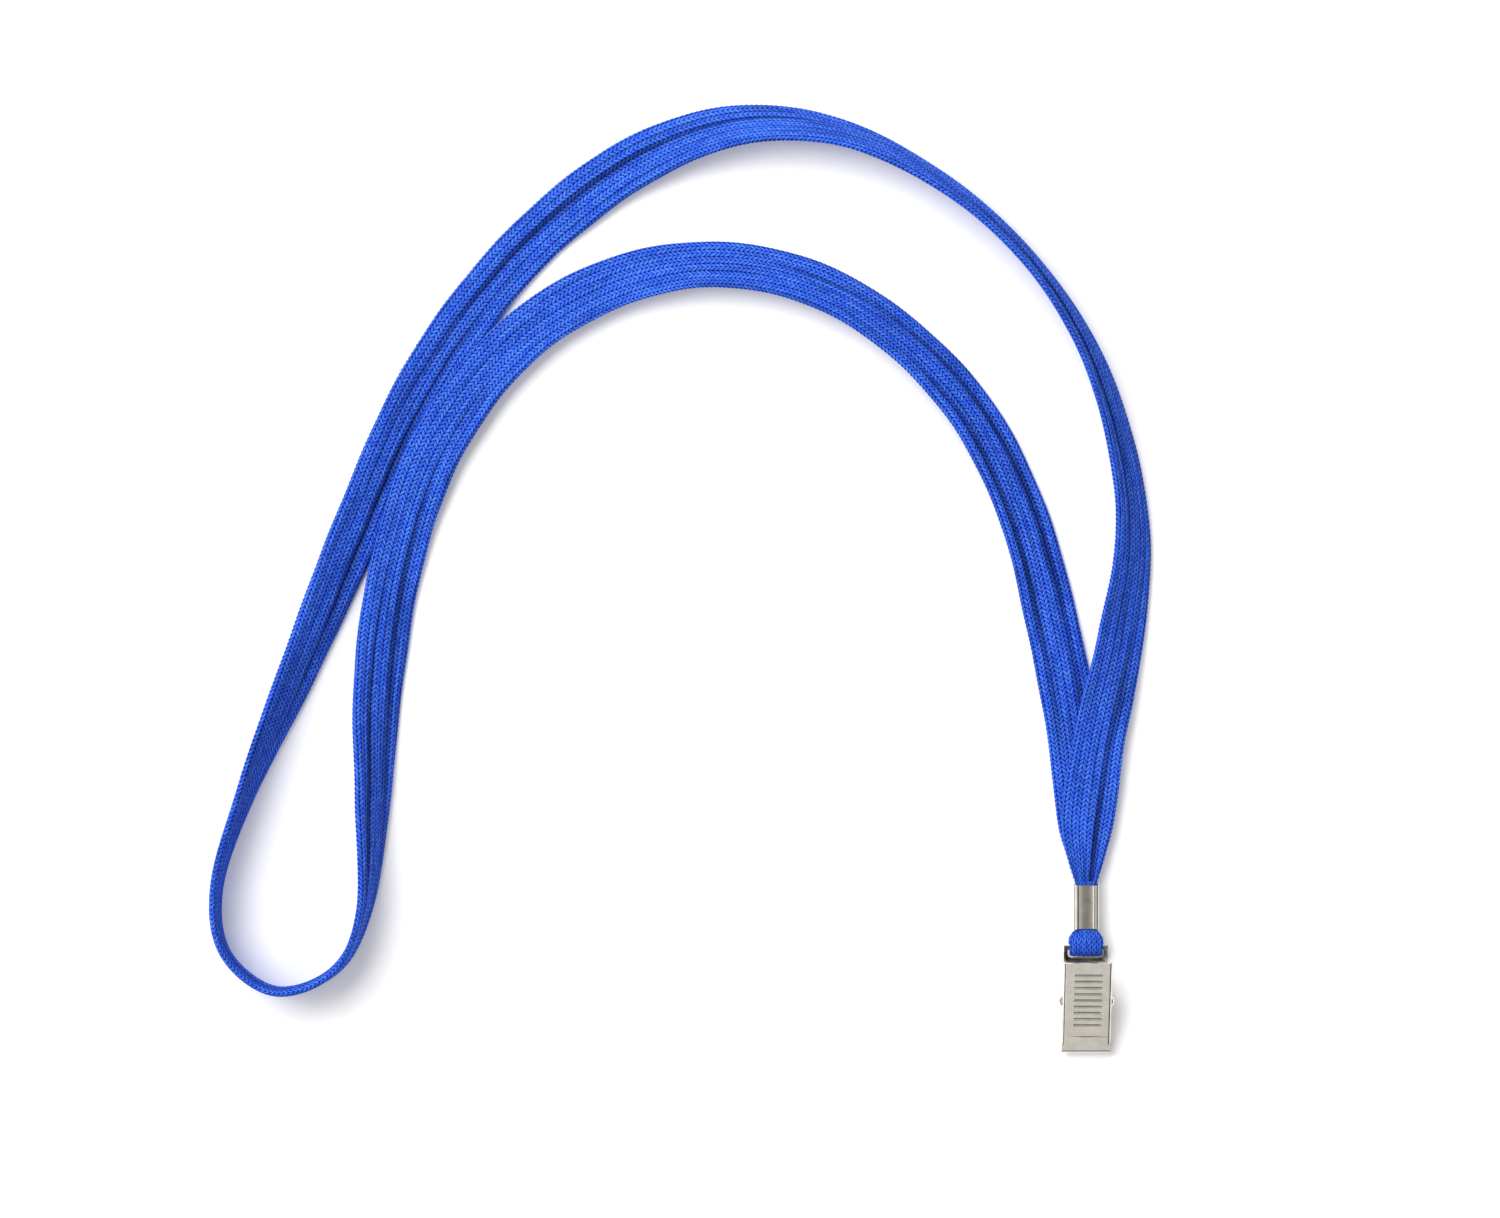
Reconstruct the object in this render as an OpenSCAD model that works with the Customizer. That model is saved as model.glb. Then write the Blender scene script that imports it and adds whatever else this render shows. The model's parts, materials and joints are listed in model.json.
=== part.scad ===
// Lanyard badge holder: a flat braided neck strap, a crimped ferrule and a sprung two-lever badge clip.
// The clip lies on the back of its rear lever with its jaws towards -Y. The strap leaves it towards +Y,
// sweeps round to -X and comes back in a hairpin. The origin lies on the surface, under the middle of the
// clip and the ferrule.

/* [Strap] */
// Width of the braid laid flat
strap_w = 12.5; // [10:0.5:14]
// Thickness of the braid
strap_t = 1.4; // [1.2:0.05:1.5]
// Width of the braid where it loops through the clip
loop_w = 8; // [6:0.5:8]

/* [Clip] */
// Outer width of the rear lever
rear_w = 10.4; // [10:0.1:11.5]
// Thickness of the stamped sheet
sheet_t = 0.5; // [0.4:0.05:0.6]
// Distance from the rivet to the bend of each jaw lip
jaw_len = 11.2; // [10.5:0.1:12]
// Distance from the rivet to the tail of the thumb lever, along the lever
thumb_tail = 11.8; // [10.5:0.1:12]
// Distance from the rivet's axis to the outer face of each lever
rivet_depth = 3.7; // [3.6:0.05:3.9]
// Angle between the closed levers
closed_angle = 23; // [21:0.5:25]
// Radius of the rivet's shaft
rivet_r = 0.85; // [0.7:0.05:0.9]
// Radius of the rivet's heads
head_r = 1.4; // [1.2:0.05:1.6]
// Diameter of the spring's wire
wire_d = 0.6; // [0.5:0.05:0.65]

/* [Ferrule] */
// Outer width of the crimped band
ferrule_w = 6; // [5.6:0.1:6.4]
// Length of the crimped band along the strap
ferrule_l = 11; // [9:0.5:12]

/* [Hidden] */
$fn = 64;
eps = 0.01;

// Fits: the running clearance of the rivet in its holes, and the side gap between the levers
rivet_gap = 0.05;
side_gap = 0.1;
touch_gap = 0.06;
thumb_w = rear_w + 2 * (sheet_t + side_gap);
bore_r = rivet_r + rivet_gap;

// Stamped levers: each has a lip at its jaw, a flange down each side and an ear for the rivet
lip_bend_r = 1;
lip_turn = 75;
fold_r = 0.8;
ear_r_rear = 2.9;
ear_r_thumb = 3.2;
jaw_flange_h = 1.2;
jaw_flange_len = 9;
jaw_fillet = 1;
jaw_fillet_h = 1.5;
tail_flange_h = 1.1;
tail_fillet = 1.6;
tail_fillet_h = 1.7;
rear_flange_len = 8.8;

// The lip's straight part is as long as leaves touch_gap between the closed lips
lip_in_y = -jaw_len - (lip_bend_r - sheet_t) * sin(lip_turn);
lip_in_z = -rivet_depth + lip_bend_r - (lip_bend_r - sheet_t) * cos(lip_turn);
lip_rise = lip_in_y * tan(closed_angle / 2) - touch_gap - lip_in_z;
lip_len = lip_rise / (sin(lip_turn) + cos(lip_turn) * tan(closed_angle / 2));
jaw_tip_y = -jaw_len - lip_bend_r * sin(lip_turn) - lip_len * cos(lip_turn);

// Teeth of the thumb lever's lip
tooth_count = 6;
tooth_pitch = 1.5;
tooth_r = 0.35;

// Raised grip ribs on the thumb pad, and a pressed line between the pad and the plain band at the jaw
rib_count = 9;
rib_pitch = 1.65;
rib_r = 0.5;
rib_proud = 0.2;
rib_len = 6.4;
rib_first_y = -4.6;
line_y = -7.6;
line_r = 0.3;
line_proud = 0.1;

// Rear lever's tail: it bends up to an end bar, so that the strap passes under the bar
loop_hole_r = 0.75;
loop_r = loop_hole_r + strap_t;
bar_len = 1.2;
tail_bend_y = 9;
tail_bend_r = 1.5;
tail_turn = 30;
bar_z = loop_r + 0.05;
tail_mid_r = tail_bend_r - sheet_t / 2;
tail_start_y = tail_bend_y + tail_mid_r * sin(tail_turn);
tail_start_z = tail_bend_r - tail_mid_r * cos(tail_turn);
bar_run = (bar_z - tail_start_z) / sin(tail_turn);
bar_y = tail_start_y + bar_run * cos(tail_turn);
slot_w = loop_w + 0.6;
slot_from = 0.5;
slot_to = bar_run - bar_len / 2;
slot_corner_r = 1.2;

// Ferrule: a front wall, and two rolled edges along its back
ferrule_y = bar_y + 4.1;
ferrule_wall = 0.5;
ferrule_front = 2;
roll_r = 1.45;
roll_z = -0.75;
front_corner_r = 0.9;
core_gap = 0.03;
dent_r = 9;
dent_depth = 0.6;

// Spring: a coil about the rivet, and a straight leg to the inside of each lever
coil_r = 1.45;
coil_half = 1.95;
leg_y = 6.5;
leg_z = rivet_depth - sheet_t - wire_d / 2 - 0.04;
leg_reach = norm([leg_y, leg_z]);
leg_angle = atan2(leg_z, leg_y);
tangent_angle = acos(coil_r / leg_reach);
coil_start = -leg_angle - tangent_angle;
coil_sweep = 6 * 360 + coil_start - (closed_angle + leg_angle + tangent_angle);
coil_steps = 100;

// Rivet heads
head_h = 0.9;
dome_r = (head_r * head_r + head_h * head_h) / (2 * head_h);

// The row's origin: midway between the jaw tip and the top of the ferrule, on the surface
ferrule_top = ferrule_y + ferrule_l;
mid_y = -(jaw_tip_y + ferrule_top) / 2;
neck_y = mid_y + ferrule_top;

// Neck strap's route, one row a point: x, y, lift off the surface, roll about its own line, width.
// Roll 0 or 180 lies flat and 90 stands on edge. It starts and ends in the ferrule, one strand on the other.
strand_w = ferrule_w - 2 * ferrule_wall - 0.1;
route = [
    [0, neck_y, bar_z + 0.02, 0, strand_w],
    [0, 27, 1.9, 0, 9],
    [0.5, 36, 1.6, 0, strap_w],
    [3, 54, 1.6, -6, strap_w],
    [8, 78, 0.4, -28, strap_w],
    [11, 102, 0, -47, strap_w],
    [8, 125, 0, -58, strap_w],
    [0, 148, 0, -66, strap_w],
    [-14, 169, 0, -72, strap_w],
    [-33, 186, 0, -70, strap_w],
    [-57, 198, 0, -60, strap_w],
    [-82, 200, 0, -40, strap_w],
    [-106, 192, 0, -12, strap_w],
    [-128, 176, 0, 0, strap_w],
    [-146, 156, 0, 6, strap_w],
    [-161, 132, 0, 14, strap_w],
    [-174, 102, 0, 28, strap_w],
    [-187, 70, 0, 50, strap_w],
    [-199, 42, 0, 76, strap_w],
    [-206, 20, 0, 86, strap_w],
    [-204, 4, 0, 90, strap_w],
    [-192, -5, 0, 90, strap_w],
    [-178, 0, 0, 92, strap_w],
    [-171, 15, 0, 100, strap_w],
    [-169, 40, 0, 126, strap_w],
    [-168, 67, 0, 152, strap_w],
    [-164, 95, 0.4, 170, strap_w],
    [-154, 124, 2.2, 180, strap_w],
    [-136, 148, 2, 184, strap_w],
    [-114, 162, 0, 194, strap_w],
    [-90, 167, 0, 206, strap_w],
    [-66, 163, 0, 212, strap_w],
    [-45, 151, 0, 212, strap_w],
    [-27, 132, 0, 208, strap_w],
    [-15, 108, 0, 200, strap_w],
    [-8, 82, 0, 190, strap_w],
    [-3, 56, 0, 181, strap_w],
    [-0.5, 36, 0.1, 180, strap_w],
    [0, 27, 0.4, 180, 9],
    [0, neck_y, 0.8, 180, strand_w],
];
rings_a_row = 2;
// Section of the strap, in widths and thicknesses
section = [
    [0.5, 0.16], [0.43, 0.5], [-0.43, 0.5], [-0.5, 0.16],
    [-0.5, -0.16], [-0.43, -0.5], [0.43, -0.5], [0.5, -0.16],
];

// Catmull-Rom value at step t of 0 to 1 between rows i and i + 1 of a list
function row(rows, i) = rows[max(0, min(len(rows) - 1, i))];
function spline(rows, i, t) =
    let (a = row(rows, i - 1), b = row(rows, i), c = row(rows, i + 1), d = row(rows, i + 2))
    b + t * (c - a) / 2 + t * t * (2 * a - 5 * b + 4 * c - d) / 2 + t * t * t * (3 * b - 3 * c + d - a) / 2;

// Height of the strap's middle over the surface: its lift, and half of the height it takes up at its roll
function strap_z(p) = p[2] + (p[4] * abs(sin(p[3])) + strap_t * abs(cos(p[3]))) / 2;
function strap_point(p) = [p[0], p[1], strap_z(p)];

// Swept tube: a ring of section points round each centre, square to the line there
function unit(v) = v / norm(v);
function heading(pts, i) = unit(row(pts, i + 1) - row(pts, i - 1));
function ring(centre, along, roll, w, t) =
    let (flat = unit(cross(along, [0, 0, 1])), up = cross(flat, along))
    let (across = flat * cos(roll) + up * sin(roll), thick = cross(across, along))
    [for (s = section) centre + across * s[0] * w + thick * s[1] * t];
function side_faces(rings, n) =
    [for (i = [0:rings - 2], j = [0:n - 1])
        let (here = i * n, next = (i + 1) * n, k = (j + 1) % n)
        each [[here + j, here + k, next + k], [here + j, next + k, next + j]]];
function end_faces(rings, n) =
    [[for (j = [n - 1:-1:0]) j], [for (j = [0:n - 1]) (rings - 1) * n + j]];

// A round wire of radius r through a list of points
function wire_ring(centre, along, r, n) =
    let (a = unit(cross(along, [1, 0.2, 0.1])), b = cross(along, a))
    [for (j = [0:n - 1]) centre + r * (a * cos(j * 360 / n) + b * sin(j * 360 / n))];

module wire(pts, r, sides = 10) {
    polyhedron(
        points = [for (i = [0:len(pts) - 1]) each wire_ring(pts[i], heading(pts, i), r, sides)],
        faces = concat(side_faces(len(pts), sides), end_faces(len(pts), sides))
    );
}

// Puts a shape drawn about the rivet in its place over the surface
module at_rivet() {
    translate([0, mid_y, rivet_depth]) children();
}

// A side view drawn in Y and Z, extruded w along X about the middle
module across(w) {
    translate([-w / 2, 0, 0]) rotate([90, 0, 90]) linear_extrude(w) children();
}

// Sheet that runs to the origin along X and bends up by turn, with a straight end: a side view
module bent_end(bend_r, turn, straight) {
    translate([0, bend_r]) {
        intersection() {
            difference() {
                circle(bend_r);
                circle(bend_r - sheet_t);
            }
            polygon([[0, 0], [0, -2 * bend_r], 2 * bend_r * [sin(turn), -cos(turn)]]);
        }
        rotate(turn - 90) translate([bend_r - sheet_t, -eps]) square([sheet_t, straight + eps]);
    }
}

// Flange and ear of a lever, in side view about the rivet, as far as tail_len
module flange(ear_r, tail_len) {
    base = -rivet_depth;
    tail_z = base + tail_fillet_h + tail_fillet;
    tail_y = sqrt(pow(ear_r + tail_fillet, 2) - tail_z * tail_z);
    jaw_z = base + jaw_fillet_h + jaw_fillet;
    jaw_y = -sqrt(pow(ear_r + jaw_fillet, 2) - jaw_z * jaw_z);
    difference() {
        union() {
            circle(ear_r);
            polygon([[0, 0], [tail_y, tail_z], [tail_y, base], [jaw_y, base], [jaw_y, jaw_z]]);
            polygon([
                [-jaw_flange_len, base], [-jaw_flange_len, base + jaw_flange_h],
                [jaw_y, base + jaw_fillet_h], [tail_y, base + tail_fillet_h],
                [tail_len, base + tail_flange_h], [tail_len, base],
            ]);
            translate([-jaw_flange_len, base + jaw_flange_h / 2]) circle(jaw_flange_h / 2);
        }
        translate([tail_y, tail_z]) circle(tail_fillet);
        translate([jaw_y, jaw_z]) circle(jaw_fillet);
        circle(bore_r);
    }
}

// Both flanges of a lever of outer width w
module flanges(w, ear_r, tail_len) {
    for (s = [-1, 1])
        translate([s * (w - sheet_t) / 2, 0, 0]) across(sheet_t) flange(ear_r, tail_len);
}

// What is cut away outside the round folds between the wall and the flanges
module fold_cuts(w, tail_len) {
    from_y = -jaw_flange_len - jaw_flange_h / 2;
    for (s = [0, 1])
        mirror([s, 0, 0]) translate([w / 2 - fold_r, from_y, -rivet_depth]) difference() {
            translate([0, 0, -eps]) cube([fold_r + eps, tail_len - from_y + eps, fold_r + eps]);
            translate([0, -eps, fold_r]) rotate([-90, 0, 0])
                cylinder(r = fold_r, h = tail_len - from_y + 4 * eps);
        }
}

// Wall of a lever with its jaw lip, in side view about the rivet
module wall_side(tail_len) {
    translate([-jaw_len, -rivet_depth]) square([jaw_len + tail_len, sheet_t]);
    translate([-jaw_len, -rivet_depth]) mirror([1, 0]) bent_end(lip_bend_r, lip_turn, lip_len);
}

module rear_lever() {
    color("gainsboro") at_rivet() difference() {
        union() {
            across(rear_w) wall_side(tail_bend_y);
            across(rear_w) translate([tail_bend_y, -rivet_depth])
                bent_end(tail_bend_r, tail_turn, bar_run + bar_len / 2);
            flanges(rear_w, ear_r_rear, rear_flange_len);
        }
        fold_cuts(rear_w, rear_flange_len);
        translate([0, tail_start_y, tail_start_z - rivet_depth]) rotate([tail_turn, 0, 0]) strap_slot();
    }
}

// Opening for the strap, with round corners towards the rivet
module strap_slot() {
    translate([0, 0, -1]) linear_extrude(2) {
        translate([-slot_w / 2, slot_from + slot_corner_r])
            square([slot_w, slot_to - slot_from - slot_corner_r]);
        translate([-slot_w / 2 + slot_corner_r, slot_from])
            square([slot_w - 2 * slot_corner_r, slot_corner_r + eps]);
        for (s = [-1, 1])
            translate([s * (slot_w / 2 - slot_corner_r), slot_from + slot_corner_r]) circle(slot_corner_r);
    }
}

module thumb_lever() {
    color("silver") at_rivet() rotate([closed_angle, 0, 0]) mirror([0, 0, 1]) difference() {
        union() {
            across(thumb_w) wall_side(thumb_tail);
            flanges(thumb_w, ear_r_thumb, thumb_tail);
            grip_ribs();
            pressed_line();
        }
        fold_cuts(thumb_w, thumb_tail);
        tooth_notches();
    }
}

// Rounded ribs across the thumb pad
module grip_ribs() {
    for (i = [0:rib_count - 1])
        translate([0, rib_first_y + i * rib_pitch, -rivet_depth + rib_r - rib_proud]) intersection() {
            union() {
                rotate([0, 90, 0]) cylinder(r = rib_r, h = rib_len, center = true);
                for (s = [-1, 1]) translate([s * rib_len / 2, 0, 0]) rotate([0, 90, 0]) sphere(rib_r);
            }
            translate([-rib_len, -rib_r, -rib_r]) cube([2 * rib_len, 2 * rib_r, rib_proud + sheet_t / 2]);
        }
}

// Low line pressed up across the wall
module pressed_line() {
    length = thumb_w - 2 * fold_r;
    translate([0, line_y, -rivet_depth]) intersection() {
        translate([-length / 2, 0, line_r - line_proud]) rotate([0, 90, 0]) cylinder(r = line_r, h = length);
        translate([-length / 2, -line_r, -line_r]) cube([length, 2 * line_r, line_r + sheet_t / 2]);
    }
}

// Round notches in the edge of the thumb lever's lip
module tooth_notches() {
    for (i = [0:tooth_count])
        translate([(i - tooth_count / 2) * tooth_pitch, jaw_tip_y, lip_in_z + lip_len * sin(lip_turn) + 0.1])
            rotate([-90, 0, 0]) cylinder(r = tooth_r, h = 2, center = true, $fn = 32);
}

module rivet() {
    head_x = thumb_w / 2 + rivet_gap;
    color("lightgray") at_rivet() rotate([0, 90, 0]) {
        cylinder(r = rivet_r, h = 2 * head_x + 2 * eps, center = true);
        for (s = [0, 1])
            mirror([0, 0, s]) translate([0, 0, head_x]) rivet_head();
    }
}

// Domed head, standing on its flat face
module rivet_head() {
    rotate_extrude() intersection() {
        translate([0, head_h - dome_r]) circle(dome_r, $fn = 128);
        square([head_r, head_h]);
    }
}

// Points of the spring's wire: leg, coil, leg
function on_circle(x, r, angle) = [x, r * cos(angle), r * sin(angle)];
function spring_points() = concat(
    [on_circle(-coil_half, leg_reach, -leg_angle)],
    [for (i = [0:coil_steps])
        on_circle((2 * i / coil_steps - 1) * coil_half, coil_r, coil_start - coil_sweep * i / coil_steps)],
    [on_circle(coil_half, leg_reach, closed_angle + leg_angle)]
);

module spring() {
    color("darkgray") at_rivet() wire(spring_points(), wire_d / 2);
}

// Outline of the ferrule, or of its hollow, seen along the strap: inset is what is taken off all round
module ferrule_outline(inset) {
    half = ferrule_w / 2 - inset;
    corner = front_corner_r - min(inset, front_corner_r - 0.4);
    top = ferrule_front - inset;
    bottom = roll_z - 0.55 + inset;
    translate([-half, bottom]) square([2 * half, top - corner - bottom]);
    translate([-half + corner, bottom]) square([2 * (half - corner), top - bottom]);
    for (s = [-1, 1]) {
        translate([s * (half - corner), top - corner]) circle(corner);
        translate([s * (ferrule_w / 2 - roll_r), roll_z]) circle(roll_r - inset);
    }
}

// A length of the ferrule's outline along the strap
module along_strap(from_y, length) {
    translate([0, mid_y + from_y + length, bar_z]) rotate([90, 0, 0]) linear_extrude(length) children();
}

module ferrule() {
    color("whitesmoke") difference() {
        along_strap(ferrule_y, ferrule_l) ferrule_outline(0);
        along_strap(ferrule_y - eps, ferrule_l + 2 * eps) ferrule_outline(ferrule_wall);
        for (y = [ferrule_y - dent_r + dent_depth, ferrule_top + dent_r - dent_depth])
            translate([0, mid_y + y, bar_z]) cylinder(r = dent_r, h = ferrule_front + 1, $fn = 128);
    }
}

// The braid round the end bar: two legs that close up at the ferrule, and the stack of braid inside it
module clip_loop() {
    leg_h = ferrule_front - ferrule_wall - core_gap;
    open_y = ferrule_y - 0.9;
    color("royalblue") {
        intersection() {
            translate([0, mid_y, bar_z]) across(loop_w) difference() {
                union() {
                    translate([bar_y, 0]) circle(loop_r);
                    polygon([[bar_y, -loop_r], [ferrule_y, -leg_h], [ferrule_y, leg_h], [bar_y, loop_r]]);
                }
                translate([bar_y, 0]) circle(loop_hole_r);
                polygon([[bar_y, -loop_hole_r], [open_y, 0], [bar_y, loop_hole_r]]);
            }
            translate([0, mid_y, 0]) linear_extrude(2 * loop_r + 1) polygon([
                [-loop_w / 2, bar_y - 3], [loop_w / 2, bar_y - 3], [loop_w / 2, bar_y + 1.8],
                [strand_w / 2, ferrule_y], [-strand_w / 2, ferrule_y], [-loop_w / 2, bar_y + 1.8],
            ]);
        }
        along_strap(ferrule_y - eps, ferrule_l + eps) ferrule_outline(ferrule_wall + core_gap);
    }
}

module neck_strap() {
    steps = [for (i = [0:len(route) - 2], k = [0:rings_a_row - 1]) [i, k / rings_a_row]];
    rows = concat([for (s = steps) spline(route, s[0], s[1])], [route[len(route) - 1]]);
    pts = [for (p = rows) strap_point(p)];
    last = len(pts) - 1;
    color("mediumblue") polyhedron(
        points = [for (i = [0:last])
            each ring(pts[i], i == 0 ? [0, 1, 0] : i == last ? [0, -1, 0] : heading(pts, i),
                rows[i][3], rows[i][4], strap_t)],
        faces = concat(side_faces(len(pts), len(section)), end_faces(len(pts), len(section)))
    );
}

neck_strap();
clip_loop();
ferrule();
rear_lever();
thumb_lever();
rivet();
spring();
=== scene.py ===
import json
import math

import bmesh
import bpy
import numpy as np
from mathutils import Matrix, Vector


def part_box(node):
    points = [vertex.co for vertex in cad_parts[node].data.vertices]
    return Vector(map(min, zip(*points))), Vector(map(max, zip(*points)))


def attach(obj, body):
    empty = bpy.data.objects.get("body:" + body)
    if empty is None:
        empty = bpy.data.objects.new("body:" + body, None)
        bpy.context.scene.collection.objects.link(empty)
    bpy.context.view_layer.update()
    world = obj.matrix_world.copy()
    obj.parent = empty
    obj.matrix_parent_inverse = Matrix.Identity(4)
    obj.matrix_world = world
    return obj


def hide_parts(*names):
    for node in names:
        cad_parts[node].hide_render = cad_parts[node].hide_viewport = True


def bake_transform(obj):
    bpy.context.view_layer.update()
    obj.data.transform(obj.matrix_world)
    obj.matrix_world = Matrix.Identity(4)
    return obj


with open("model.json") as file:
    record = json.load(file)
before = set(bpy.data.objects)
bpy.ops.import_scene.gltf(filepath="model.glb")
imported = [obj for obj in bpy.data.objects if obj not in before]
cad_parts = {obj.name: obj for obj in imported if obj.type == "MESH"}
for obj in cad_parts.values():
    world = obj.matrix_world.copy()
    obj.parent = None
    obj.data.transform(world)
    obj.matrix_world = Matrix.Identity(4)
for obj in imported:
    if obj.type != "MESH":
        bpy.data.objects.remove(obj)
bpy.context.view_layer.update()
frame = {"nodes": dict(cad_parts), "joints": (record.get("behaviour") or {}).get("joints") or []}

MM = 0.001
SCENE = bpy.context.scene

# Places of the ferrule, the end bar and the pivot, from the CAD
FERRULE_LO, FERRULE_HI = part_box("ferrule")
JOINT = {j["name"]: j for j in frame["joints"]}
BAR = Vector(JOINT["clip_swing"]["pos_m"])
PIVOT = Vector(JOINT["thumb_squeeze"]["pos_m"])
NECK_Y = FERRULE_HI.y
BAR_Z = BAR.z

# The strap: one row a point of its route, as x, y, lift off the surface, roll in degrees and width
WIDTH = 0.0125
THICK = 0.0014
STRAND = 0.0049
ROUTE = [
    (0, NECK_Y, BAR_Z + 0.00002, 0, STRAND),
    (0, 0.027, 0.0019, 0, 0.009),
    (0.0005, 0.036, 0.0016, 0, WIDTH),
    (0.003, 0.054, 0.0016, -6, WIDTH),
    (0.008, 0.078, 0.0004, -28, WIDTH),
    (0.011, 0.102, 0, -47, WIDTH),
    (0.008, 0.125, 0, -58, WIDTH),
    (0, 0.148, 0, -66, WIDTH),
    (-0.014, 0.169, 0, -72, WIDTH),
    (-0.033, 0.186, 0, -70, WIDTH),
    (-0.057, 0.198, 0, -60, WIDTH),
    (-0.082, 0.2, 0, -40, WIDTH),
    (-0.106, 0.192, 0, -12, WIDTH),
    (-0.128, 0.176, 0, 0, WIDTH),
    (-0.146, 0.156, 0, 6, WIDTH),
    (-0.161, 0.132, 0, 14, WIDTH),
    (-0.174, 0.102, 0, 28, WIDTH),
    (-0.187, 0.07, 0, 50, WIDTH),
    (-0.199, 0.042, 0, 76, WIDTH),
    (-0.206, 0.02, 0, 86, WIDTH),
    (-0.204, 0.004, 0, 90, WIDTH),
    (-0.192, -0.005, 0, 90, WIDTH),
    (-0.178, 0, 0, 92, WIDTH),
    (-0.171, 0.015, 0, 100, WIDTH),
    (-0.169, 0.04, 0, 126, WIDTH),
    (-0.168, 0.067, 0, 152, WIDTH),
    (-0.164, 0.095, 0.0004, 170, WIDTH),
    (-0.154, 0.124, 0.0022, 180, WIDTH),
    (-0.136, 0.148, 0.002, 184, WIDTH),
    (-0.114, 0.162, 0, 194, WIDTH),
    (-0.09, 0.167, 0, 206, WIDTH),
    (-0.066, 0.163, 0, 212, WIDTH),
    (-0.045, 0.151, 0, 212, WIDTH),
    (-0.027, 0.132, 0, 208, WIDTH),
    (-0.015, 0.108, 0, 200, WIDTH),
    (-0.008, 0.082, 0, 190, WIDTH),
    (-0.003, 0.056, 0, 181, WIDTH),
    (-0.0005, 0.036, 0.0001, 180, WIDTH),
    (0, 0.027, 0.0004, 180, 0.009),
    (0, NECK_Y, 0.0008, 180, STRAND),
]

# The stitches: columns right round the braid, their pitch along it, and how far a V's legs slant
AROUND = 14
PITCH = 1.1 * MM
SLANT = 0.95

# How deep a lengthwise furrow is pressed in
FURROW = 0.48 * MM

SCENE.view_settings.view_transform = "Standard"
SCENE.view_settings.look = "None"


# ---------------------------------------------------------------- materials

def nodes_of(material):
    material.use_nodes = True
    tree = material.node_tree
    return tree, tree.nodes["Principled BSDF"]


def new_node(tree, kind, inputs=None, **props):
    node = tree.nodes.new(kind)
    for key, value in props.items():
        setattr(node, key, value)
    for key, value in (inputs or {}).items():
        socket = node.inputs[key]
        if isinstance(value, bpy.types.NodeSocket):
            tree.links.new(value, socket)
        else:
            socket.default_value = value
    return node


def math_node(tree, operation, a, b=0.0, c=0.0):
    node = tree.nodes.new("ShaderNodeMath")
    node.operation = operation
    for i, value in enumerate((a, b, c)):
        if isinstance(value, bpy.types.NodeSocket):
            tree.links.new(value, node.inputs[i])
        else:
            node.inputs[i].default_value = value
    return node.outputs[0]


def map_range(tree, value, lo, hi, to_lo, to_hi, smooth=False):
    node = new_node(tree, "ShaderNodeMapRange", {"Value": value}, clamp=True)
    node.interpolation_type = "SMOOTHSTEP" if smooth else "LINEAR"
    for key, number in (("From Min", lo), ("From Max", hi), ("To Min", to_lo), ("To Max", to_hi)):
        node.inputs[key].default_value = number
    return node.outputs["Result"]


def facing(tree, direction, toward):
    """How nearly a direction points toward a place: their dot product."""
    node = new_node(tree, "ShaderNodeVectorMath", {0: direction, 1: toward}, operation="DOT_PRODUCT")
    return node.outputs["Value"]


def mix_color(tree, factor, a, b, blend="MIX"):
    node = tree.nodes.new("ShaderNodeMix")
    node.data_type = "RGBA"
    node.blend_type = blend
    for index, value in ((0, factor), (6, a), (7, b)):
        if isinstance(value, bpy.types.NodeSocket):
            tree.links.new(value, node.inputs[index])
        elif index == 0:
            node.inputs[0].default_value = value
        else:
            node.inputs[index].default_value = (*value, 1)
    return node.outputs[2]


def noise(tree, vector, scale, detail=2.0, roughness=0.5):
    node = new_node(tree, "ShaderNodeTexNoise",
                    {"Vector": vector, "Scale": scale, "Detail": detail, "Roughness": roughness})
    return node.outputs[0]


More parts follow.
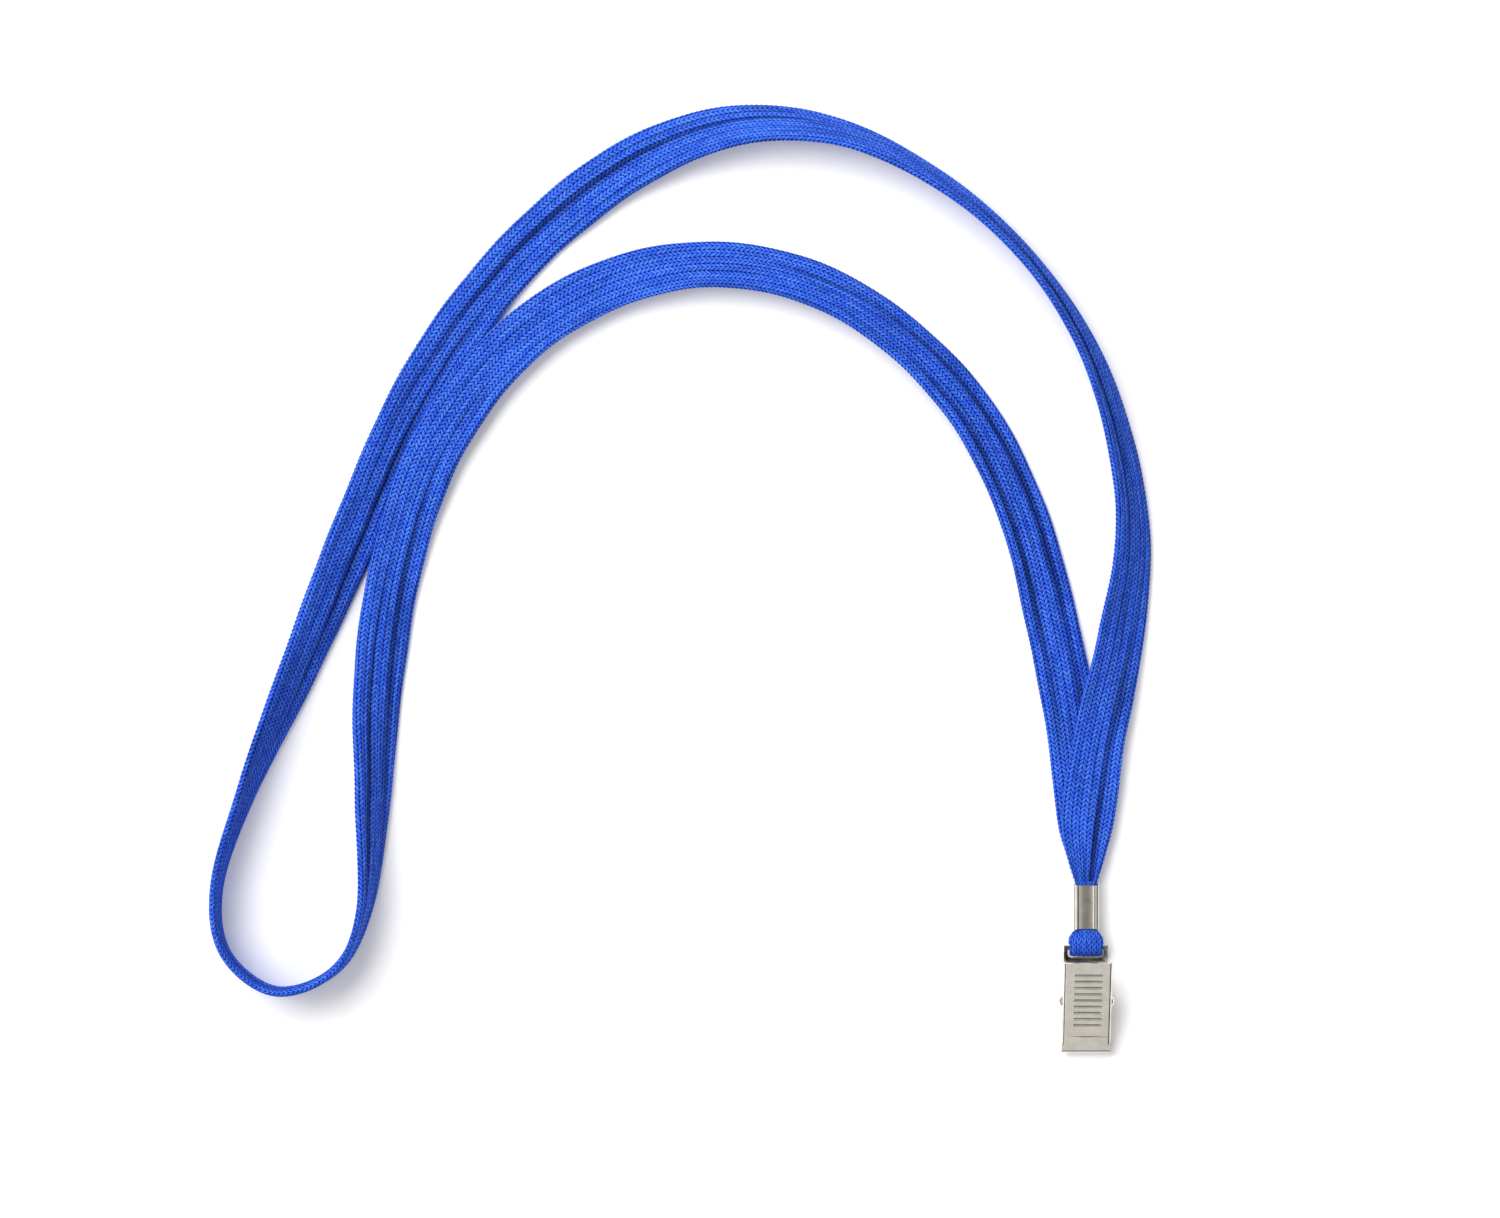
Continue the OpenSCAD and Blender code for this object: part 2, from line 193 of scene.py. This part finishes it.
def braid_material():
    """Royal blue knitted braid: columns of V stitches, in the strap's own UV of column and pitch."""
    material = bpy.data.materials.new("blue_braid")
    tree, shader = nodes_of(material)
    place = tree.nodes.new("ShaderNodeTexCoord").outputs["Object"]
    uv = tree.nodes.new("ShaderNodeUVMap")
    uv.uv_map = "braid"
    split = new_node(tree, "ShaderNodeSeparateXYZ", {"Vector": uv.outputs[0]})
    column, along = split.outputs[0], split.outputs[1]

    side = math_node(tree, "ABSOLUTE",
                     math_node(tree, "MULTIPLY_ADD", math_node(tree, "FRACT", column), 2.0, -1.0))
    wander = math_node(tree, "MULTIPLY_ADD", noise(tree, place, 700.0, 1.0), 0.4, -0.2)
    phase = math_node(tree, "ADD", math_node(tree, "MULTIPLY_ADD", side, SLANT, along), wander)
    stitch = math_node(tree, "PINGPONG", phase, 0.5)
    leg = map_range(tree, stitch, 0.02, 0.38, 0.16, 1.0, smooth=True)
    border = map_range(tree, side, 0.66, 1.0, 1.0, 0.2, smooth=True)
    centre = map_range(tree, side, 0.0, 0.28, 0.35, 1.0, smooth=True)
    height = math_node(tree, "MULTIPLY", leg, math_node(tree, "MULTIPLY", border, centre))

    stitch_id = tree.nodes.new("ShaderNodeCombineXYZ")
    tree.links.new(math_node(tree, "FLOOR", math_node(tree, "MULTIPLY", column, 2.0)), stitch_id.inputs[0])
    tree.links.new(math_node(tree, "FLOOR", phase), stitch_id.inputs[1])
    chance = new_node(tree, "ShaderNodeTexWhiteNoise", {"Vector": stitch_id.outputs[0]},
                      noise_dimensions="2D").outputs["Value"]

    # Painted shade: the colour falls to a dark navy where the stitch relief is low, in the grooves between
    # the stitches and at the column borders
    deep, mid, bright = (0.000, 0.004, 0.075), (0.003, 0.050, 0.74), (0.100, 0.270, 1.0)
    yarn = mix_color(tree, map_range(tree, chance, 0.0, 1.0, 0.30, 0.66), mid, bright)
    color = mix_color(tree, map_range(tree, height, 0.08, 0.62, 0.0, 1.0), deep, yarn)
    # Painted shade: long lengthwise streaks of darker and lighter tone, as if the strap's faces tilted to and
    # from the light
    shade_streaks = new_node(tree, "ShaderNodeMapping", {"Vector": uv.outputs[0], "Scale": (0.9, 0.03, 1.0)})
    painted_shade = map_range(tree, noise(tree, shade_streaks.outputs[0], 2.0, 3.0), 0.32, 0.62, 0.62, 1.15)
    # Painted shade: the colour darkens to about a quarter in the furrows and pleats, by how deep each point
    # is sunk
    sunk = new_node(tree, "ShaderNodeAttribute", attribute_name="sunk").outputs["Fac"]
    painted_shade = math_node(tree, "MULTIPLY", painted_shade, map_range(tree, sunk, 0.05, 0.9, 1.0, 0.28))
    shade = tree.nodes.new("ShaderNodeCombineColor")
    for i in range(3):
        tree.links.new(painted_shade, shade.inputs[i])
    color = mix_color(tree, 1.0, color, shade.outputs[0], "MULTIPLY")
    tree.links.new(color, shader.inputs["Base Color"])

    fibre_uv = new_node(tree, "ShaderNodeMapping", {"Vector": uv.outputs[0], "Scale": (14.0, 3.0, 1.0)})
    fibre = noise(tree, fibre_uv.outputs[0], 2.0, 3.0, 0.6)
    relief = math_node(tree, "MULTIPLY_ADD", fibre, 0.25, height)
    bump = new_node(tree, "ShaderNodeBump", {"Height": relief, "Strength": 0.9, "Distance": 0.16 * MM})
    tree.links.new(bump.outputs[0], shader.inputs["Normal"])
    tree.links.new(map_range(tree, height, 0.0, 1.0, 0.9, 0.55), shader.inputs["Roughness"])
    shader.inputs["Specular IOR Level"].default_value = 0.05
    shader.inputs["Sheen Weight"].default_value = 0.04
    shader.inputs["Sheen Roughness"].default_value = 0.4
    shader.inputs["Sheen Tint"].default_value = (0.12, 0.3, 1.0, 1)
    return material


def nickel_material(name, color, rough, wave):
    """Bright nickel plate on stamped sheet: slow dents, fine rubbing marks and a little tarnish."""
    material = bpy.data.materials.new(name)
    tree, shader = nodes_of(material)
    place = tree.nodes.new("ShaderNodeTexCoord").outputs["Object"]
    shader.inputs["Metallic"].default_value = 1.0
    cloud = noise(tree, place, 260.0, 4.0, 0.6)
    dull = [c * 0.86 for c in color]
    dull[2] *= 0.94
    tint = mix_color(tree, map_range(tree, cloud, 0.35, 0.65, 0.0, 1.0), dull, color)
    tree.links.new(tint, shader.inputs["Base Color"])
    rubbed = new_node(tree, "ShaderNodeMapping", {"Vector": place, "Scale": (5200.0, 420.0, 5200.0)})
    marks = noise(tree, rubbed.outputs[0], 1.0, 2.0, 0.5)
    tree.links.new(map_range(tree, math_node(tree, "ADD", marks, cloud), 0.75, 1.3, rough * 0.7, rough * 1.6),
                   shader.inputs["Roughness"])
    dents = noise(tree, place, 210.0, 1.0)
    slow = new_node(tree, "ShaderNodeBump", {"Height": dents, "Strength": 1.0, "Distance": wave * MM})
    fine = new_node(tree, "ShaderNodeBump",
                    {"Height": marks, "Strength": 0.12, "Distance": 0.01 * MM, "Normal": slow.outputs[0]})
    tree.links.new(fine.outputs[0], shader.inputs["Normal"])
    return material


def floor_material():
    material = bpy.data.materials.new("white_table")
    tree, shader = nodes_of(material)
    place = tree.nodes.new("ShaderNodeTexCoord").outputs["Object"]
    grain = noise(tree, place, 60.0, 3.0)
    tone = mix_color(tree, map_range(tree, grain, 0.3, 0.7, 0.0, 1.0),
                     (0.93, 0.93, 0.94), (0.95, 0.95, 0.955))
    tree.links.new(tone, shader.inputs["Base Color"])
    shader.inputs["Roughness"].default_value = 0.7
    shader.inputs["Specular IOR Level"].default_value = 0.2
    # Far from the object the table stays as white as the background behind it
    far = new_node(tree, "ShaderNodeVectorMath", {0: place}, operation="LENGTH").outputs["Value"]
    shader.inputs["Emission Color"].default_value = (1, 1, 1, 1)
    tree.links.new(map_range(tree, far, 0.6, 2.2, 0.0, 0.8, smooth=True), shader.inputs["Emission Strength"])
    return material


BRAID = braid_material()
NICKEL = nickel_material("nickel_plate", [0.83, 0.80, 0.755], 0.14, 0.05)
FERRULE_NICKEL = nickel_material("ferrule_nickel", [0.86, 0.835, 0.79], 0.11, 0.03)
WIRE_STEEL = nickel_material("spring_wire", [0.62, 0.58, 0.53], 0.2, 0.0)


# ---------------------------------------------------------------- mesh tools

def tube(name, rings, material, uvs=None, sunk=None, cap=True):
    """A mesh through rings of points, an array of rings x points x 3.

    uvs has one more column than the rings have points, because it doesn't close on itself.
    sunk, rings x points, says how deep in a furrow each point lies, from 0 to 1.
    """
    count, sides = rings.shape[:2]
    ring, side = np.divmod(np.arange((count - 1) * sides), sides)

    def faces(width):
        here, turn = ring * width + side, ring * width + (side + 1) % width
        quads = np.stack([here, turn, turn + width, here + width], 1).tolist()
        first = list(range(sides))[::-1]
        return quads + ([first, [(count - 1) * width + k for k in range(sides)]] if cap else [])
    mesh = bpy.data.meshes.new(name)
    mesh.from_pydata(rings.reshape(-1, 3).tolist(), [], faces(sides))
    if uvs is not None:
        layer = mesh.uv_layers.new(name="braid")
        of_loop = np.concatenate(faces(sides + 1))
        layer.data.foreach_set("uv", uvs.reshape(-1, 2)[of_loop].astype(np.float32).ravel())
    if sunk is not None:
        depth = mesh.attributes.new("sunk", "FLOAT", "POINT")
        depth.data.foreach_set("value", sunk.astype(np.float32).ravel())
    shell = bmesh.new()
    shell.from_mesh(mesh)
    bmesh.ops.recalc_face_normals(shell, faces=shell.faces)
    shell.to_mesh(mesh)
    shell.free()
    mesh.shade_smooth()
    mesh.materials.append(material)
    piece = bpy.data.objects.new(name, mesh)
    SCENE.collection.objects.link(piece)
    return piece


def unit(v):
    return v / np.linalg.norm(v, axis=-1, keepdims=True)


def spline(rows, per_row):
    """Catmull-Rom values between the rows, per_row of them to each step, and the last row."""
    rows = np.array(rows, float)
    padded = np.vstack([rows[:1], rows, rows[-1:]])
    a, b, c, d = padded[:-3, None], padded[1:-2, None], padded[2:-1, None], padded[3:, None]
    t = (np.arange(per_row) / per_row)[None, :, None]
    slope, curve, twist = c - a, 2 * a - 5 * b + 4 * c - d, 3 * b - 3 * c + d - a
    body = b + t * slope / 2 + t * t * curve / 2 + t ** 3 * twist / 2
    return np.vstack([body.reshape(-1, rows.shape[1]), rows[-1:]])


def spaced(values, points, step):
    """values and points at even steps along the line through points: (values, points, arc lengths)."""
    gaps = np.linalg.norm(np.diff(points, axis=0), axis=1)
    arc = np.concatenate([[0], np.cumsum(gaps)])
    at = np.linspace(0, arc[-1], max(2, int(round(arc[-1] / step)) + 1))

    def pick(table):
        return np.stack([np.interp(at, arc, table[:, k]) for k in range(table.shape[1])], 1)
    return pick(values), pick(points), at


# ---------------------------------------------------------------- braid

def braid_section():
    """Even steps round a flat braid with round edges, from the middle of one edge.

    Each row is across, -0.5 to 0.5, and height, -1 to 1, then the outward direction in both.
    """
    edge_r = THICK / 2
    flat, quarter = WIDTH - THICK, math.pi * edge_r / 2
    half_way = flat + 2 * quarter

    def upper(s):
        if quarter <= s <= quarter + flat:
            return np.array([s - quarter - flat / 2, edge_r, 0, 1])
        side = -1 if s < quarter else 1
        turn = min(s, half_way - s) / edge_r
        sine, cosine = math.sin(turn), math.cos(turn)
        return np.array([side * (flat / 2 + edge_r * cosine), edge_r * sine, side * cosine, sine])
    steps = 2 * AROUND
    top = np.array([upper(half_way * k / steps) for k in range(steps)])
    return np.vstack([top, -top]) / [WIDTH, edge_r, 1, 1]


def braid_tube(centres, across, thick, widths, depths, arc, crown=0.1, fold=None, pinch=None):
    """A flat braid along centres, with stitches, column grooves and scalloped edges in its shape.

    crown swells the middle of the section. fold moves both faces the same way. pinch, from 0 to 1,
    sinks each one by that much of a furrow.
    """
    u, h, out_u, out_h = braid_section().T
    h = h * (1 + crown * (1 - 8 * np.abs(u) ** 3))
    column = np.arange(len(u) + 1) / 4 + 0.5
    side = np.abs(2 * (column[:-1] % 1.0) - 1)
    pitches = arc / PITCH
    wave = -np.cos(2 * math.pi * (pitches[:, None] + SLANT * side[None]))

    # Stitches stand out more at the braid's edges, which scallops them
    bump = (0.055 + 0.055 * np.abs(out_u)) * MM
    groove = np.where(side > 0.9, -0.09, 0.03) * MM
    sunk = np.zeros((len(arc), len(u)))
    if pinch is not None:
        sunk = sunk + pinch(arc[:, None], u[None]) * np.abs(out_h)
    lift = bump * wave + groove - FURROW * sunk
    aside = u * widths[:, None] + out_u * lift
    out = h * depths[:, None] / 2 + out_h * lift
    if fold is not None:
        out = out + fold(arc[:, None], u[None])
    rings = centres[:, None] + across[:, None] * aside[..., None] + thick[:, None] * out[..., None]
    uvs = np.stack(np.broadcast_arrays(column[None], pitches[:, None]), -1)
    return rings, uvs, sunk


def route_line(rows, step):
    """The strap's centre line, with its roll and width at each point."""
    values = spline(rows, 24)
    roll = np.radians(values[:, 3])
    height = values[:, 2] + (values[:, 4] * np.abs(np.sin(roll)) + THICK * np.abs(np.cos(roll))) / 2
    points = np.column_stack([values[:, 0], values[:, 1], height])
    return spaced(values, points, step)


def strap_folds(arc, u):
    """Soft creases along the braid, and a slow cupping of its section."""
    crease = np.sin(2 * math.pi * (1.35 * u + 0.14 * np.sin(arc / 0.037) + arc / 0.47))
    crease = crease * (0.8 + 0.5 * np.sin(arc / 0.027 + 2.0))
    crease = crease + 0.35 * np.sin(2 * math.pi * (2.6 * u - arc / 0.23))
    cup = 0.32 * np.sin(arc / 0.041 + 0.6) + 0.2 * np.sin(arc / 0.017)
    near_end = np.clip(arc / 0.03, 0, 1) * np.clip((arc[-1] - arc) / 0.03, 0, 1)
    return near_end * MM * (0.17 * crease + cup * (4 * u * u - 0.3))


def strap_furrows(arc, u):
    """Two lengthwise furrows, which wander and fade: where the flat braid has been folded over."""
    depth = 0
    for place, sway, reach, fade in ((0.17, 0.08, 0.061, 0.043), (-0.21, 0.06, 0.047, 0.037)):
        middle = place + sway * np.sin(arc / reach)
        strength = np.clip(0.28 + 0.75 * np.sin(arc / fade + 9 * place), 0, 1)
        depth = depth + strength * np.exp(-((u - middle) / 0.065) ** 2)
    return depth


def neck_strap():
    values, centres, arc = route_line(ROUTE, PITCH / 2)
    along = unit(np.gradient(centres, axis=0))
    along[0], along[-1] = (0, 1, 0), (0, -1, 0)
    flat = unit(np.cross(along, [0, 0, 1]))
    up = np.cross(flat, along)
    roll = np.radians(values[:, 3])[:, None]
    across = flat * np.cos(roll) + up * np.sin(roll)
    thick = np.cross(across, along)

    # The ferrule squeezes the last 4 mm at each end, and the braid gathers in pleats as it narrows
    depths = THICK * (1 - 0.28 * np.clip(1 - np.minimum(arc, arc[-1] - arc) / (4 * MM), 0, 1))
    widths = values[:, 4] * (1 + 0.012 * np.sin(arc / 0.0083) + 0.01 * np.sin(arc / 0.0031))
    gathered = (1 - widths / WIDTH)[:, None].clip(0, 1)

    def furrows(s, u):
        return strap_furrows(s, u) + gathered * (0.5 + 0.5 * np.cos(2 * math.pi * (3 * u + 0.2)))
    rings, uvs, sunk = braid_tube(centres, across, thick, widths, depths, arc,
                                  fold=strap_folds, pinch=furrows)

    # Nothing goes into the table
    rings[..., 2] = np.maximum(rings[..., 2], 0.03 * MM)
    piece = tube("neck_braid", rings, BRAID, uvs, sunk)
    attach(piece, "strap")
    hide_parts("neck_strap")
    return piece


def clip_loop():
    """The braid that comes down out of the ferrule, round the end bar and back up into the ferrule."""
    mid_r = 1.48 * MM
    legs = 0.53 * MM
    inside, outside = 1.0 * MM, 1.2 * MM

    # Each point is y, z and the braid's width there
    bend = [(BAR.y + mid_r * math.cos(a), BAR_Z + mid_r * math.sin(a), 7.7 * MM)
            for a in np.radians([100, 125, 150, 180, 210, 235, 260])]
    upper = [(NECK_Y + 0.6 * MM, BAR_Z + 0.7 * MM, 4.8 * MM),
             ((NECK_Y + FERRULE_LO.y) / 2, BAR_Z + legs, 4.6 * MM),
             (FERRULE_LO.y + 0.5 * MM, BAR_Z + legs, 4.7 * MM),
             (FERRULE_LO.y - 0.8 * MM, BAR_Z + legs + 0.3 * MM, 6.4 * MM),
             (BAR.y + 1.8 * MM, BAR_Z + mid_r, 7.9 * MM)]
    lower = [(y, 2 * BAR_Z - z, w) for y, z, w in reversed(upper)]
    values = spline(upper + bend + lower, 16)
    points = np.column_stack([np.zeros(len(values)), values[:, 0], values[:, 1]])
    values, centres, arc = spaced(values, points, PITCH / 2)
    along = unit(np.gradient(centres, axis=0))
    across = np.tile([1.0, 0.0, 0.0], (len(arc), 1))
    thick = np.cross(along, across)
    depths = np.where(centres[:, 1] > FERRULE_LO.y, inside, outside)
    middle = arc[-1] / 2

    def puff(s, u):
        """The braid swells where it shows, between the ferrule and the bar."""
        on_top = np.clip((0.96 * middle - s) / (0.2 * middle), 0, 1)
        on_top = on_top * np.clip((s - 0.58 * middle) / (0.1 * middle), 0, 1)
        dome = 0.24 * (1 - 4 * u * u) + 0.05 * np.sin(2 * math.pi * (u * 1.4 + s * 60))
        return MM * on_top * dome
    rings, uvs, sunk = braid_tube(centres, across, thick, values[:, 2], depths, arc, crown=0.12, fold=puff)
    rings[..., 2] = np.maximum(rings[..., 2], 0.04 * MM)
    piece = tube("clip_braid", rings, BRAID, uvs, sunk)
    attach(piece, "strap")
    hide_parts("clip_loop")
    return piece


# ---------------------------------------------------------------- ferrule

# The ferrule's rim, as distances in mm in from its side and down from its top
CROWN = [(1.16, 0.19), (1.05, 0.08), (0.95, 0.02), (0.84, 0.0), (0.68, 0.035), (0.52, 0.09), (0.37, 0.165),
         (0.23, 0.265), (0.11, 0.40), (0.03, 0.56), (0.0, 0.76)]


def ferrule():
    """A crimped band: a front that is dished between two rims, and two rolled edges along its back."""
    half = FERRULE_HI.x
    top, roll_r, roll_z = BAR_Z + 2.0 * MM, 1.45 * MM, BAR_Z - 0.75 * MM
    rim, wall, lip = 1.27 * MM, 0.42 * MM, 0.03 * MM
    roll_x = half - roll_r

    def outline(inset):
        """Right half of the section, from the middle of the front to the seam at the back."""
        points = []
        for x in np.linspace(0, half - rim, 9):
            dish = 0.2 * MM * (1 - (x / (half - rim)) ** 2)
            points.append((x, top - 0.28 * MM - dish - inset))
        for off, drop in CROWN:
            points.append((half - max(off * MM, inset), top - drop * MM - inset * (1 if off > 0.5 else 0.6)))
        for z in np.linspace(top - 0.76 * MM, roll_z, 5)[1:-1]:
            points.append((half - inset, z))
        for a in np.radians(np.linspace(0, -176, 18)):
            points.append((roll_x + (roll_r - inset) * math.cos(a), roll_z + (roll_r - inset) * math.sin(a)))
        points.append((inset * 0.6, roll_z + 0.12 * MM + inset))
        return points

    def ring(inset):
        right = outline(inset)
        left = [(-x, z) for x, z in reversed(right[1:])]
        return np.array(right + left)

    outer, inner = ring(0.0), ring(wall)
    y0, y1 = FERRULE_LO.y, FERRULE_HI.y
    front = np.clip((outer[:, 1] - (top - 0.7 * MM)) / (0.5 * MM), 0, 1)
    dent = 0.72 * MM * front * np.clip(1 - (outer[:, 0] / (half - 0.2 * MM)) ** 2, 0, 1)
    rng = np.random.default_rng(5)
    ragged = rng.normal(0, 0.035 * MM, len(outer)) * front

    def reach(t):
        """How far along the strap each point of the section lies, t of the way up the ferrule."""
        return y0 + (y1 - y0) * t + (dent + ragged) * (1 - 2 * t)

    rings = []
    sideways = np.sign(outer[:, 0]) * np.clip((np.abs(outer[:, 0]) / half - 0.4) / 0.6, 0, 1)
    lengths = np.concatenate([np.linspace(0, 0.12, 5), np.linspace(0.2, 0.8, 9), np.linspace(0.88, 1, 5)])
    for t in lengths:
        flare = 0.14 * MM * max(0.0, (t - 0.86) / 0.14) ** 2 + 0.05 * MM * max(0.0, (0.1 - t) / 0.1) ** 2
        rings.append(np.column_stack([outer[:, 0] + flare * front * sideways, reach(t), outer[:, 1]]))

    # Over the upper lip, back down the inside and out over the lower lip
    for t, share, proud in ((1, 0.5, lip), (1, 1.0, 0), (0.5, 1.0, 0), (0, 1.0, 0), (0, 0.5, -lip)):
        flat = outer * (1 - share) + inner * share
        rings.append(np.column_stack([flat[:, 0], reach(t) + proud, flat[:, 1]]))
    rings = np.array(rings + [rings[0]])
    rings[..., 2] = np.maximum(rings[..., 2], 0.0)
    piece = tube("ferrule_band", rings, FERRULE_NICKEL, cap=False)
    weld = bmesh.new()
    weld.from_mesh(piece.data)
    bmesh.ops.remove_doubles(weld, verts=weld.verts, dist=1e-7)
    bmesh.ops.recalc_face_normals(weld, faces=weld.faces)
    weld.to_mesh(piece.data)
    weld.free()
    piece.data.set_sharp_from_angle(angle=math.radians(50))
    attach(piece, "strap")
    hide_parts("ferrule")
    return piece


# ---------------------------------------------------------------- clip

def softened(node, name, body, material, width):
    """The CAD node's own shape with its hard edges rounded over."""
    source = frame["nodes"][node].data
    shell = bmesh.new()
    shell.from_mesh(source)

    # Join the CAD's split corners, and drop the edges that lie within a flat face
    bmesh.ops.remove_doubles(shell, verts=shell.verts, dist=2e-6)
    bmesh.ops.dissolve_limit(shell, angle_limit=math.radians(0.25), verts=shell.verts, edges=shell.edges)
    mesh = bpy.data.meshes.new(name)
    shell.to_mesh(mesh)
    shell.free()
    mesh.shade_smooth()
    piece = bpy.data.objects.new(name, mesh)
    SCENE.collection.objects.link(piece)
    mesh.materials.clear()
    mesh.materials.append(material)
    bevel = piece.modifiers.new("edges", "BEVEL")
    bevel.width = width
    bevel.segments = 2
    bevel.limit_method = "ANGLE"
    bevel.angle_limit = math.radians(38)
    normals = piece.modifiers.new("normals", "WEIGHTED_NORMAL")
    normals.weight = 75
    normals.thresh = 0.3
    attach(piece, body)
    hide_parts(node)
    return piece


def spring():
    """A torsion spring round the rivet, with one straight leg inside each lever."""
    half, coil_r, wire_r = 1.95 * MM, 1.45 * MM, 0.3 * MM
    turns, per_turn = 6, 48

    # The angle between the shut levers, and how far a leg's end is from the pivot along and across its lever
    closed = math.radians(23)
    leg = np.array([6.5, 2.86]) * MM
    reach, leg_angle = math.hypot(*leg), math.atan2(leg[1], leg[0])
    tangent = math.acos(coil_r / reach)
    start = -leg_angle - tangent
    sweep = turns * 2 * math.pi + start - (closed + leg_angle + tangent)

    def at(x, r, a):
        return (x, PIVOT.y + r * math.cos(a), PIVOT.z + r * math.sin(a))
    steps = np.linspace(0, 1, per_turn * turns + 1)
    coil = [at(-half + 2 * half * t, coil_r, start - sweep * t) for t in steps]
    first, last = np.array(at(-half, reach, -leg_angle)), np.array(at(half, reach, closed + leg_angle))
    lead = [first + (np.array(coil[0]) - first) * t for t in np.linspace(0, 0.97, 12)]
    tail = [np.array(coil[-1]) + (last - np.array(coil[-1])) * t for t in np.linspace(0.03, 1, 12)]
    points = np.array(lead + [np.array(p) for p in coil] + tail)
    along = unit(np.gradient(points, axis=0))
    side = unit(np.cross(along, [1.0, 0.2, 0.1]))
    other = np.cross(along, side)
    angles = np.linspace(0, 2 * math.pi, 16, endpoint=False)
    radii = np.full(len(points), wire_r)
    radii[[0, -1]] = wire_r * 0.75
    rings = points[:, None] + radii[:, None, None] * (
        side[:, None] * np.cos(angles)[None, :, None] + other[:, None] * np.sin(angles)[None, :, None])
    piece = tube("torsion_spring", rings, WIRE_STEEL)
    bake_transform(piece)
    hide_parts("spring")
    return piece


# ---------------------------------------------------------------- set

# The middle of the heap on the table, then each lamp's name, place, size and power in watts
MIDDLE = Vector((-0.08, 0.085, 0))
LAMPS = [("key", (-0.9, 0.8, 1.0), 1.5, 33.0), ("fill", (0.9, -0.5, 1.1), 1.4, 7.0)]


def studio():
    """White table, soft light from above, and a sky with darker bands for the metal to reflect."""
    bpy.ops.mesh.primitive_plane_add(size=6, location=MIDDLE)
    table = bpy.context.object
    table.name = "table"
    table.data.materials.append(floor_material())

    world = bpy.data.worlds.new("studio")
    SCENE.world = world
    world.use_nodes = True
    tree = world.node_tree
    direction = tree.nodes.new("ShaderNodeTexCoord").outputs["Generated"]
    split = new_node(tree, "ShaderNodeSeparateXYZ", {"Vector": direction})
    ramp = tree.nodes.new("ShaderNodeValToRGB")
    tree.links.new(split.outputs[2], ramp.inputs[0])
    stops = [(0.0, (0.50, 0.49, 0.48)), (0.16, (0.45, 0.44, 0.43)), (0.28, (0.06, 0.055, 0.05)),
             (0.44, (0.10, 0.09, 0.08)), (0.54, (1.66, 1.64, 1.60)), (0.80, (1.66, 1.64, 1.60)),
             (0.90, (1.16, 1.13, 1.09)), (0.96, (0.62, 0.59, 0.56)), (1.0, (0.42, 0.40, 0.38))]
    ramp.color_ramp.elements[0].position = stops[0][0]
    ramp.color_ramp.elements[0].color = (*stops[0][1], 1)
    ramp.color_ramp.elements[1].position = stops[-1][0]
    ramp.color_ramp.elements[1].color = (*stops[-1][1], 1)
    for position, color in stops[1:-1]:
        ramp.color_ramp.elements.new(position).color = (*color, 1)
    glow = map_range(tree, facing(tree, direction, (-0.75, 0.3, 0.3)), -0.6, 0.7, 0.35, 1.3)
    # Two dark panels, one high at the strap's side and one low at the jaw's, edge the pressed ribs
    strength = math_node(tree, "MULTIPLY", glow, 0.61)
    for toward, edge, full in (((0.06, 0.42, 0.905), 0.956, 0.982), ((0.1, -0.97, 0.2), 0.9, 0.96)):
        panel = map_range(tree, facing(tree, direction, toward), edge, full, 1.0, 0.05, smooth=True)
        strength = math_node(tree, "MULTIPLY", strength, panel)
    sky = tree.nodes["Background"]
    tree.links.new(ramp.outputs[0], sky.inputs[0])
    tree.links.new(strength, sky.inputs[1])

    # What the camera sees past the table's edge is plain and pale
    pale = new_node(tree, "ShaderNodeBackground", {"Color": (1, 1, 1, 1), "Strength": 1.0})
    seen = tree.nodes.new("ShaderNodeLightPath").outputs["Is Camera Ray"]
    both = new_node(tree, "ShaderNodeMixShader", {0: seen, 1: sky.outputs[0], 2: pale.outputs[0]})
    tree.links.new(both.outputs[0], tree.nodes["World Output"].inputs[0])

    for name, place, size, power in LAMPS:
        light = bpy.data.lights.new(name, "AREA")
        light.size = size
        light.energy = power
        lamp = bpy.data.objects.new(name, light)
        lamp.location = place
        lamp.visible_glossy = False
        aim = MIDDLE - lamp.location
        lamp.rotation_euler = aim.to_track_quat("-Z", "Y").to_euler()
        SCENE.collection.objects.link(lamp)


def camera():
    """Straight down, with the framing of a 357 mm wide picture at the table."""
    data = bpy.data.cameras.new("camera")
    eye = bpy.data.objects.new("camera", data)
    SCENE.collection.objects.link(eye)
    distance, view_width = 1.25, 0.357
    data.sensor_width = 36
    data.lens = data.sensor_width * distance / view_width
    data.clip_end = 50
    eye.location = (-0.0798, 0.0853, distance)
    eye.rotation_euler = (0, 0, 0)
    SCENE.camera = eye


neck_strap()
clip_loop()
ferrule()
softened("rear_lever", "rear_shell", "clip_body", NICKEL, 0.07 * MM)
softened("thumb_lever", "thumb_shell", "thumb", NICKEL, 0.07 * MM)
softened("rivet", "rivet_pin", "clip_body", NICKEL, 0.04 * MM)
spring()
studio()
camera()
